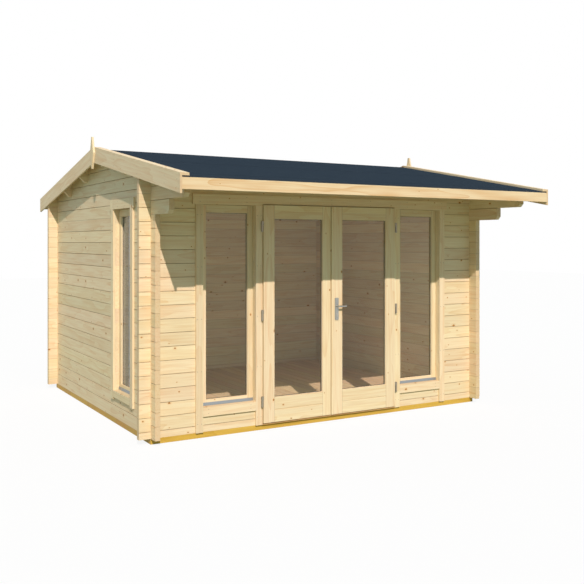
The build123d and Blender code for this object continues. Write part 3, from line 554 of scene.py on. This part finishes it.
# %% The felt material
felt_graph = Graph("mineral felt")
xyz, _ = felt_graph.place()
spot = felt_graph.vector(xyz["X"], xyz["Y"], xyz["Z"])
grains = felt_graph.tree.nodes.new("ShaderNodeTexVoronoi")
grains.inputs["Scale"].default_value = 420.0
felt_graph.put(grains.inputs["Vector"], spot)
grain_tone = felt_graph.tree.nodes.new("ShaderNodeSeparateColor")
felt_graph.put(grain_tone.inputs[0], grains.outputs["Color"])
bands = felt_graph.noise(spot, 3.0, 4.0)
tone = felt_graph.mix(grain_tone.outputs[0], rgb(32, 42, 53), rgb(65, 78, 90))
tone = felt_graph.mix(felt_graph.math("MULTIPLY", bands, 0.5), tone, rgb(44, 55, 67))
felt_graph.put(felt_graph.shader.inputs["Base Color"], tone)
felt_graph.shader.inputs["Roughness"].default_value = 1.0
felt_graph.shader.inputs["Specular IOR Level"].default_value = 0.0
rough = felt_graph.tree.nodes.new("ShaderNodeBump")
rough.inputs["Strength"].default_value = 0.5
rough.inputs["Distance"].default_value = 0.001
felt_graph.put(rough.inputs["Height"], grains.outputs["Distance"])
felt_graph.put(felt_graph.shader.inputs["Normal"], rough.outputs["Normal"])
felt = felt_graph.material
dress(felt, "roof_felt")
print("felt made")

# %% [markdown]
# ## Roof boards and floor boards
#
# The solid roof and floor are plain sheets. The real ones are tongued boards with a small V along every joint,
# which shows from below the overhang and through the glass. The V could be painted on, but a true one catches the
# light. So each sheet is replaced by boards: one profile with a V at each joint is worked out as an array of
# points, and stretched from one edge of the sheet to the other.


# %% Build boarded sheets from a profile
def prism(name, start, end, body="cabin"):
    """A closed bar between two rings of points, start and end, each an n x 3 array. Side faces join point k to point
    k + 1 of both rings, and one many-sided face closes each end."""
    count = len(start)
    points = np.vstack([start, end])
    k = np.arange(count)
    nxt = (k + 1) % count
    faces = [list(q) for q in np.stack([k, nxt, nxt + count, k + count], axis=1)]
    faces += [list(k[::-1]), list(k + count)]
    mesh = bpy.data.meshes.new(name)
    mesh.from_pydata(points.tolist(), [], faces)
    mesh.validate()
    mesh.update()
    piece = bpy.data.objects.new(name, mesh)
    bpy.context.scene.collection.objects.link(piece)
    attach(piece, body)
    return piece


def v_profile(low, high, pitch, groove):
    """Places and depths along a boarded edge from low to high: depth is 0 on a board and -groove at each joint."""
    joints = np.arange(math.ceil(low / pitch + 0.3), math.floor(high / pitch - 0.3) + 1) * pitch
    at = np.concatenate([[low], (joints[:, None] + np.array([-groove, 0, groove])).ravel(), [high]])
    deep = np.concatenate([[0], np.tile([0, groove, 0], len(joints)), [0]])
    return at, deep


BOARD = 0.112
GROOVE = 0.004
FLOOR_GROOVE = 0.003
BOARD_THICKNESS = 0.019
BOARD_RISE = 0.0193
low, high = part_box("front_roof_boards")
at, deep = v_profile(low[0], high[0], BOARD, GROOVE)
ridge = high[2] - BOARD_THICKNESS / math.cos(math.atan(ROOF_SLOPE))
for name, side in (("front_boarding", -1), ("back_boarding", 1)):
    rings = []
    for reach in (0.0, abs(low[1])):
        under = ridge - ROOF_SLOPE * reach
        bottom = np.stack([at, np.full_like(at, side * reach), under + deep], axis=1)
        top = np.array([[at[-1], side * reach, under + BOARD_RISE], [at[0], side * reach, under + BOARD_RISE]])
        rings.append(np.vstack([bottom, top]))
    boards = prism(name, rings[0], rings[1])
    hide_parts("front_roof_boards" if side < 0 else "back_roof_boards")
    # The V is real, and a painted shade line is drawn along it as well
    dress(pine("pine " + name.replace("_", " "), "Y", "X", BOARD, 0.0, seam=0.004), boards)
print("roof boards", len(at), "profile points")

# %% The floor
low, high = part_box("floor")
at, deep = v_profile(low[0], high[0], BOARD, FLOOR_GROOVE)
rings = []
for y in (low[1], high[1]):
    top = np.stack([at, np.full_like(at, y), high[2] - deep], axis=1)
    bottom = np.array([[at[-1], y, low[2]], [at[0], y, low[2]]])
    rings.append(np.vstack([top, bottom]))
floor_boards = prism("floor_boards", rings[0], rings[1])
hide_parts("floor")
# A painted shade line is drawn along each floor joint as well
dress(pine("floor boards", "Y", "X", BOARD, 0.0, light=(244, 222, 182), dark=(224, 184, 134), seam=0.004),
      floor_boards)
print("floor boards", len(at), "profile points")

# %% [markdown]
# ## Glazing beads and seals
#
# Glass is held by slim beads, mitred at the corners, with a dark seal between bead and pane. Each is a frame: a
# small profile carried round a rectangle. One function places the profile at the four corners, where its distance
# from the opening shifts both ways at once, so the mitres come out exact.


# %% Frames that run round a pane
def mitred_frame(name, centre, half, profile, plane, depth, outward, body):
    """A profile run round a rectangle. A profile point is (inward, out): at each corner it lies at half size minus
    inward, both ways, and at depth + outward * out. plane is 'XZ' or 'YZ', the plane of the rectangle."""
    corners = np.array([[-1, -1], [1, -1], [1, 1], [-1, 1]], float)
    profile = np.array(profile, float)
    flat = corners[:, None, :] * (np.array(half)[None, None, :] - profile[None, :, :1])
    flat = flat + np.array(centre)[None, None, :]
    out = depth + outward * np.broadcast_to(profile[:, 1], (4, len(profile)))
    if plane == "XZ":
        points = np.stack([flat[..., 0], out, flat[..., 1]], axis=-1)
    else:
        points = np.stack([out, flat[..., 0], flat[..., 1]], axis=-1)
    count = len(profile)
    corner, k = np.meshgrid(np.arange(4), np.arange(count), indexing="ij")
    a = corner * count + k
    b = corner * count + (k + 1) % count
    c = ((corner + 1) % 4) * count + (k + 1) % count
    d = ((corner + 1) % 4) * count + k
    faces = np.stack([a, b, c, d], axis=-1).reshape(-1, 4)
    mesh = bpy.data.meshes.new(name)
    mesh.from_pydata(points.reshape(-1, 3).tolist(), [], faces.tolist())
    mesh.update()
    piece = bpy.data.objects.new(name, mesh)
    bpy.context.scene.collection.objects.link(piece)
    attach(piece, body)
    return piece


seal_graph = Graph("dark seal")
xyz, _ = seal_graph.place()
mottle = seal_graph.noise(seal_graph.vector(xyz["X"], xyz["Y"], xyz["Z"]), 300.0)
seal_graph.put(seal_graph.shader.inputs["Base Color"], seal_graph.mix(mottle, rgb(44, 40, 36), rgb(70, 64, 58)))
seal_graph.shader.inputs["Roughness"].default_value = 0.7
seal = seal_graph.material

BEAD_WIDTH = 0.004
BEAD_HEIGHT = 0.011
turn = np.linspace(0, math.pi / 2, 6)[1:]
nose = np.stack([BEAD_WIDTH * np.sin(turn), BEAD_HEIGHT - BEAD_WIDTH + BEAD_WIDTH * np.cos(turn)], axis=1)
BEAD = np.vstack([[(0.0, 0.0), (0.0, BEAD_HEIGHT)], nose, [(BEAD_WIDTH, 0.0)]])
SEAL = [(0.0038, 0.0), (0.0038, 0.0016), (0.0062, 0.0016), (0.0062, 0.0)]


def glaze(label, pane_box, plane, body, wood, outside=-1):
    """Beads and seals on both faces of one pane. Centre and half size = half the sum and half the difference of the
    box's corners. outside is -1, the way out."""
    (x0, y0, z0), (x1, y1, z1) = pane_box
    if plane == "XZ":
        centre, half, faces = ((x0 + x1) / 2, (z0 + z1) / 2), ((x1 - x0) / 2, (z1 - z0) / 2), (y0, y1)
    else:
        centre, half, faces = ((y0 + y1) / 2, (z0 + z1) / 2), ((y1 - y0) / 2, (z1 - z0) / 2), (x0, x1)
    for where, depth, way in (("outer", faces[0], outside), ("inner", faces[1], -outside)):
        bead = mitred_frame(f"{label}_{where}_bead", centre, half, BEAD, plane, depth, way, body)
        dress(wood, bead)
        strip = mitred_frame(f"{label}_{where}_seal", centre, half, SEAL, plane, depth, way, body)
        dress(seal, strip)


bead_wood = pine("pine beads", "Z", "X", 0.2, 0.1, knots=0.15)
glaze("left_leaf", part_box("left_leaf_glass"), "XZ", "left_door", bead_wood)
glaze("right_leaf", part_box("right_leaf_glass"), "XZ", "right_door", bead_wood)
glass_low, glass_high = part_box("window_glass")
sash_low, sash_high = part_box("front_window_sashes")
PANE_HALF = SASH_HALF - STILE
PANE_NEAR, PANE_FAR = 0.017, 0.023
for label, middle in (("left_window", -WINDOW_X), ("right_window", WINDOW_X)):
    pane_box = ((middle - PANE_HALF, sash_low[1] + PANE_NEAR, sash_low[2] + SASH_BOTTOM_RAIL),
                (middle + PANE_HALF, sash_low[1] + PANE_FAR, sash_high[2] - SASH_TOP_RAIL))
    glaze(label, pane_box, "XZ", "cabin", bead_wood)
gable_low, gable_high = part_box("gable_window_sash")
pane_box = ((gable_low[0] + PANE_NEAR, gable_low[1] + STILE, gable_low[2] + SASH_BOTTOM_RAIL),
            (gable_low[0] + PANE_FAR, gable_high[1] - STILE, gable_high[2] - SASH_TOP_RAIL))
glaze("gable_window", pane_box, "YZ", "cabin", bead_wood)
print("panes glazed; the window glass spans", [round(v, 3) for v in glass_low], [round(v, 3) for v in glass_high])

# %% [markdown]
# ## Laps of the felt
#
# Roofing felt comes on rolls one metre wide, laid level from the eaves up, so each sheet covers the top edge of the
# one below. The lap is a step of one sheet's thickness. Each is a wedge that is one sheet high at its lower edge and
# thins out to nothing up the slope, so from below it shows as a fine shaded line.

# %% Build the laps
FELT_TOP = 0.0224
LAP = 0.0022
LAP_SINK = 0.0005
LAP_LENGTH = 0.30
LAP_REACHES = (1.95, 1.03)
CAP_COVER = 0.058
low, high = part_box("roof_felt")
felt_ridge = high[2] - FELT_TOP
half_width = high[0] - CAP_COVER
for side, label in ((-1, "front"), (1, "back")):
    for number, reach in enumerate(LAP_REACHES):
        along = np.array([reach, reach, reach - LAP_LENGTH])
        lift = np.array([-LAP_SINK, LAP, -LAP_SINK])
        level = felt_ridge + FELT_TOP - ROOF_SLOPE * along + lift
        ends = [np.stack([np.full(3, x), side * along, level], axis=1) for x in (-half_width, half_width)]
        lap = prism(f"{label}_felt_lap_{number + 1}", ends[0], ends[1])
        dress(felt, lap)
print("felt laps made, ridge of the boards' underside at", round(felt_ridge, 3))

# %% [markdown]
# ## Nails and screws
#
# Casings, bargeboards and cap strips are nailed in pairs, and the handle plates are screwed. Each head is a low dome
# turned from a short outline: rings of points round the head's axis, all heads at once in one array. A nail's head is
# 5 mm across and a screw's 8 mm, so they are hardly seen from the garden, and are there at the door. The photograph
# is too small to show where nails are, so their places are a guess at usual practice.


# %% Build rows of heads
def heads(name, places, axis, way, radius, height, body, material, slot_name, sides=12):
    """Low domes. Ring k of each head: place + radius * r_k * (cos t, sin t) across, and way * height * h_k along the
    axis, with r = 1, 0.96, 0.7, 0.3 and h = -0.6 (sunk in the wood), 0.35, 0.8, 1."""
    places = np.array(places, float)
    share = np.array([1.0, 0.96, 0.70, 0.30])
    lift = np.array([-0.6, 0.35, 0.80, 1.0])
    turn = np.linspace(0, 2 * math.pi, sides, endpoint=False)
    first, second = [k for k in range(3) if k != axis]
    points = np.repeat(places[:, None, None, :], len(share), axis=1).repeat(sides, axis=2)
    points[..., first] += radius * share[None, :, None] * np.cos(turn)
    points[..., second] += radius * share[None, :, None] * np.sin(turn)
    points[..., axis] += way * height * lift[None, :, None]
    n = np.arange(len(places))[:, None, None] * len(share) * sides
    k = np.arange(len(share) - 1)[None, :, None] * sides
    j = np.arange(sides)[None, None, :]
    nxt = (j + 1) % sides
    walls = np.stack([n + k + j, n + k + nxt, n + k + sides + nxt, n + k + sides + j], axis=-1).reshape(-1, 4)
    caps = np.concatenate([(n[:, 0] + j[0])[:, ::-1], n[:, 0] + (len(share) - 1) * sides + j[0]])
    mesh = bpy.data.meshes.new(name)
    mesh.from_pydata(points.reshape(-1, 3).tolist(), [], walls.tolist() + caps.tolist())
    mesh.update()
    solid = bmesh.new()
    solid.from_mesh(mesh)
    bmesh.ops.recalc_face_normals(solid, faces=solid.faces)
    solid.to_mesh(mesh)
    solid.free()
    piece = bpy.data.objects.new(name, mesh)
    bpy.context.scene.collection.objects.link(piece)
    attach(piece, body)
    dress(material, piece)
    return piece


nail = metal("galvanised nail", (128, 126, 118), 0.5, metallic=0.7)
FRONT = -1.211
NAIL = (0.0026, 0.0007)
PLATE_SCREW = (0.0042, 0.0012)
STEP_SCREW = (0.0042, 0.0008)
NAIL_PAIR = (-0.018, 0.018)
CASING_X = (0.7575, 1.3245)
places = [(side * x + offset, FRONT, z) for side in (-1, 1) for x in CASING_X for offset in NAIL_PAIR
          for z in (0.12, 0.56, 1.0, 1.44, 1.88)]
places += [(x, FRONT, z) for x in np.linspace(-1.32, 1.32, 7) for z in (1.990, 2.034)]
places += [(side * (WINDOW_X + offset), FRONT, z) for side in (-1, 1) for offset in (-0.2, 0.2)
           for z in (0.202, 0.236)]
heads("front_nails", places, 1, -1, *NAIL, "cabin", nail, "hinge_metal")
GABLE_FRONT = -1.768
GABLE_CASING = 0.2605
casing_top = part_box("gable_window_casings")[1][2]
places = [(GABLE_FRONT, GABLE_WINDOW_Y + side * GABLE_CASING + offset, z) for side in (-1, 1)
          for offset in NAIL_PAIR for z in (0.3, 0.8, 1.3, 1.8)]
places += [(GABLE_FRONT, GABLE_WINDOW_Y + y, casing_top - drop) for y in (-0.26, -0.1, 0.1, 0.26)
           for drop in (0.066, 0.022)]
heads("gable_nails", places, 0, -1, *NAIL, "cabin", nail, "hinge_metal")
board_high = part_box("front_bargeboards")[1]
cap_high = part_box("front_barge_caps")[1]
NAIL_REACHES = (-2.03, -1.785, -1.19, -0.595, -0.10, 0.10, 0.595, 1.19, 1.785, 2.03)
for side, label in ((-1, "left"), (1, "right")):
    places = [(side * board_high[0], y, board_high[2] - ROOF_SLOPE * abs(y) - drop)
              for y in NAIL_REACHES for drop in (0.035, 0.092)]
    heads(f"{label}_bargeboard_nails", places, 0, side, *NAIL, "cabin", nail, "hinge_metal")
    top = [(side * 1.83, y, cap_high[2] - ROOF_SLOPE * abs(y)) for y in np.linspace(-1.95, 1.95, 14)]
    heads(f"{label}_cap_nails", top, 2, 1, *NAIL, "cabin", nail, "hinge_metal")
plate_low, plate_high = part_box("handle_plates")
middle_x = (plate_low[0] + plate_high[0]) / 2
for y, way, label in ((plate_low[1], -1, "outer"), (plate_high[1], 1, "inner")):
    places = [(middle_x, y, z) for z in (plate_low[2] + 0.012, plate_high[2] - 0.012)]
    heads(f"{label}_plate_screws", places, 1, way, *PLATE_SCREW, "right_door", nickel, "handle_metal", sides=20)
places = [(x, -1.203, 0.056) for x in (-0.6, -0.2, 0.2, 0.6)]
heads("threshold_screws", places, 2, 1, *STEP_SCREW, "cabin", nail, "hinge_metal")
print("nails and screws placed")

# %% [markdown]
# ## Door seal
#
# A soft dark strip is pressed into a groove of the frame where the leaves close against it. It stands 4 mm proud of
# the stop, and shows as a dark line round the opening when the doors are open. It is a swept profile again, open at
# the bottom, so it is one bar down each side and one across the head.

# %% Build the seal
frame_low, frame_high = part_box("door_frame")
STOP_FACE = -1.179
seal_section = np.array([(0.003, -0.001), (0.003, 0.003), (0.005, 0.004), (0.008, 0.003), (0.008, -0.001)])
SEAL_HALF, SEAL_TOP, SEAL_FOOT = 0.7145, 1.9675, 0.094
inward = seal_section[:, 0]
out = STOP_FACE - seal_section[:, 1]
count = len(seal_section)
path = [np.stack([-(SEAL_HALF - inward), out, np.full(count, SEAL_FOOT)], axis=1),
        np.stack([-(SEAL_HALF - inward), out, SEAL_TOP - inward], axis=1),
        np.stack([SEAL_HALF - inward, out, SEAL_TOP - inward], axis=1),
        np.stack([SEAL_HALF - inward, out, np.full(count, SEAL_FOOT)], axis=1)]
points = np.vstack(path)
row, k = np.meshgrid(np.arange(3) * count, np.arange(count), indexing="ij")
nxt = (k + 1) % count
quads = np.stack([row + k, row + nxt, row + count + nxt, row + count + k], axis=-1).reshape(-1, 4).tolist()
closing = [list(range(count - 1, -1, -1)), list(range(3 * count, 4 * count))]
seal_mesh = bpy.data.meshes.new("door_seal")
seal_mesh.from_pydata(points.tolist(), [], quads + closing)
seal_mesh.update()
door_seal = bpy.data.objects.new("door_seal", seal_mesh)
bpy.context.scene.collection.objects.link(door_seal)
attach(door_seal, "cabin")
dress(seal, door_seal)
print("door seal", len(points), "points; frame box", [round(v, 3) for v in frame_low + frame_high])

# %% [markdown]
# ## Light and background
#
# The shadow of the bargeboard's tip on the front wall, and that of the finial on the gable, both give the sun's
# direction: 20 degrees to the left of straight ahead and 38 degrees up. One sun lamp with a small disc gives the
# crisp edges. The sky is a pale blue world that fills the shade. A weak wide lamp stands inside the front wall and
# faces the room, for the sky light that comes through the glass. Its strength and tint were fitted until the room
# looked as in the photograph, so they aren't measured from anything. The background is white only for rays that
# come from the camera, a mirror or through glass, so it doesn't flood the object with light.

# %% Sun and room lamp
sun = bpy.data.objects.new("sun", bpy.data.lights.new("sun", "SUN"))
bpy.context.scene.collection.objects.link(sun)
SUN_AZIMUTH, SUN_HEIGHT = math.radians(20.05), math.radians(38.34)
sun.rotation_euler = (math.pi / 2 - SUN_HEIGHT, 0, -SUN_AZIMUTH)
sun.data.energy = 3.3
sun.data.color = (1.0, 0.885, 0.83)
sun.data.angle = math.radians(0.6)

room_light = bpy.data.objects.new("room light", bpy.data.lights.new("room light", "AREA"))
bpy.context.scene.collection.objects.link(room_light)
room_light.location = (0, -1.0, 0.95)
room_light.rotation_euler = (math.pi / 2, 0, 0)
room_light.visible_camera = False
room_light.visible_glossy = False
room_light.data.shape = "RECTANGLE"
room_light.data.size = 3.0
room_light.data.size_y = 1.6
room_light.data.energy = 6.8
room_light.data.color = (0.74, 0.93, 0.70)
print("sun and room lamp set")

# %% The sky, and white behind it
world = bpy.data.worlds.new("sky")
bpy.context.scene.world = world
world.use_nodes = True
tree = world.node_tree
tree.nodes.clear()
sky = tree.nodes.new("ShaderNodeBackground")
sky.inputs["Color"].default_value = (0.74, 0.94, 1.0, 1)
sky.inputs["Strength"].default_value = 0.442
white = tree.nodes.new("ShaderNodeBackground")
white.inputs["Color"].default_value = (1, 1, 1, 1)
white.inputs["Strength"].default_value = 1.0
path = tree.nodes.new("ShaderNodeLightPath")
seen = tree.nodes.new("ShaderNodeMath")
seen.operation = "MAXIMUM"
tree.links.new(path.outputs["Is Camera Ray"], seen.inputs[0])
tree.links.new(path.outputs["Is Glossy Ray"], seen.inputs[1])
clear = tree.nodes.new("ShaderNodeMath")
clear.operation = "MAXIMUM"
tree.links.new(seen.outputs[0], clear.inputs[0])
tree.links.new(path.outputs["Is Transmission Ray"], clear.inputs[1])
choose = tree.nodes.new("ShaderNodeMixShader")
tree.links.new(clear.outputs[0], choose.inputs[0])
tree.links.new(sky.outputs[0], choose.inputs[1])
tree.links.new(white.outputs[0], choose.inputs[2])
final = tree.nodes.new("ShaderNodeOutputWorld")
tree.links.new(choose.outputs[0], final.inputs["Surface"])
print("sky set")

# %% [markdown]
# ## Ground
#
# The ground sends a greenish light up into the shade, but the camera sees white paper with only the cabin's shadow on
# it. So its material is two in one, and the kind of ray picks between them. This tint and the sky's were fitted too,
# until the shaded logs looked as in the photograph.

# %% The ground
ground_mesh = bpy.data.meshes.new("ground")
reach = 30.0
ground_mesh.from_pydata([(-reach, -reach, 0), (reach, -reach, 0), (reach, reach, 0), (-reach, reach, 0)], [],
                        [(0, 1, 2, 3)])
ground = bpy.data.objects.new("ground", ground_mesh)
bpy.context.scene.collection.objects.link(ground)
g = Graph("pale ground")
g.shader.inputs["Roughness"].default_value = 1.0
g.shader.inputs["Specular IOR Level"].default_value = 0.0
g.shader.inputs["Base Color"].default_value = (0.295, 0.340, 0.236, 1)
paper = g.tree.nodes.new("ShaderNodeEmission")
paper.inputs["Strength"].default_value = 1.0
shaded = g.tree.nodes.new("ShaderNodeBsdfDiffuse")
shaded.inputs["Color"].default_value = (0.9, 0.9, 0.9, 1)
soft = g.tree.nodes.new("ShaderNodeMixShader")
soft.inputs[0].default_value = 0.12
g.put(soft.inputs[1], paper.outputs[0])
g.put(soft.inputs[2], shaded.outputs[0])
path = g.tree.nodes.new("ShaderNodeLightPath")
seen = g.math("MAXIMUM", path.outputs["Is Camera Ray"], path.outputs["Is Glossy Ray"])
seen = g.math("MAXIMUM", seen, path.outputs["Is Transmission Ray"])
pick = g.tree.nodes.new("ShaderNodeMixShader")
g.put(pick.inputs[0], seen)
g.put(pick.inputs[1], g.shader.outputs[0])
g.put(pick.inputs[2], soft.outputs[0])
g.put(g.output.inputs["Surface"], pick.outputs[0])
ground.data.materials.append(g.material)
print("ground set")
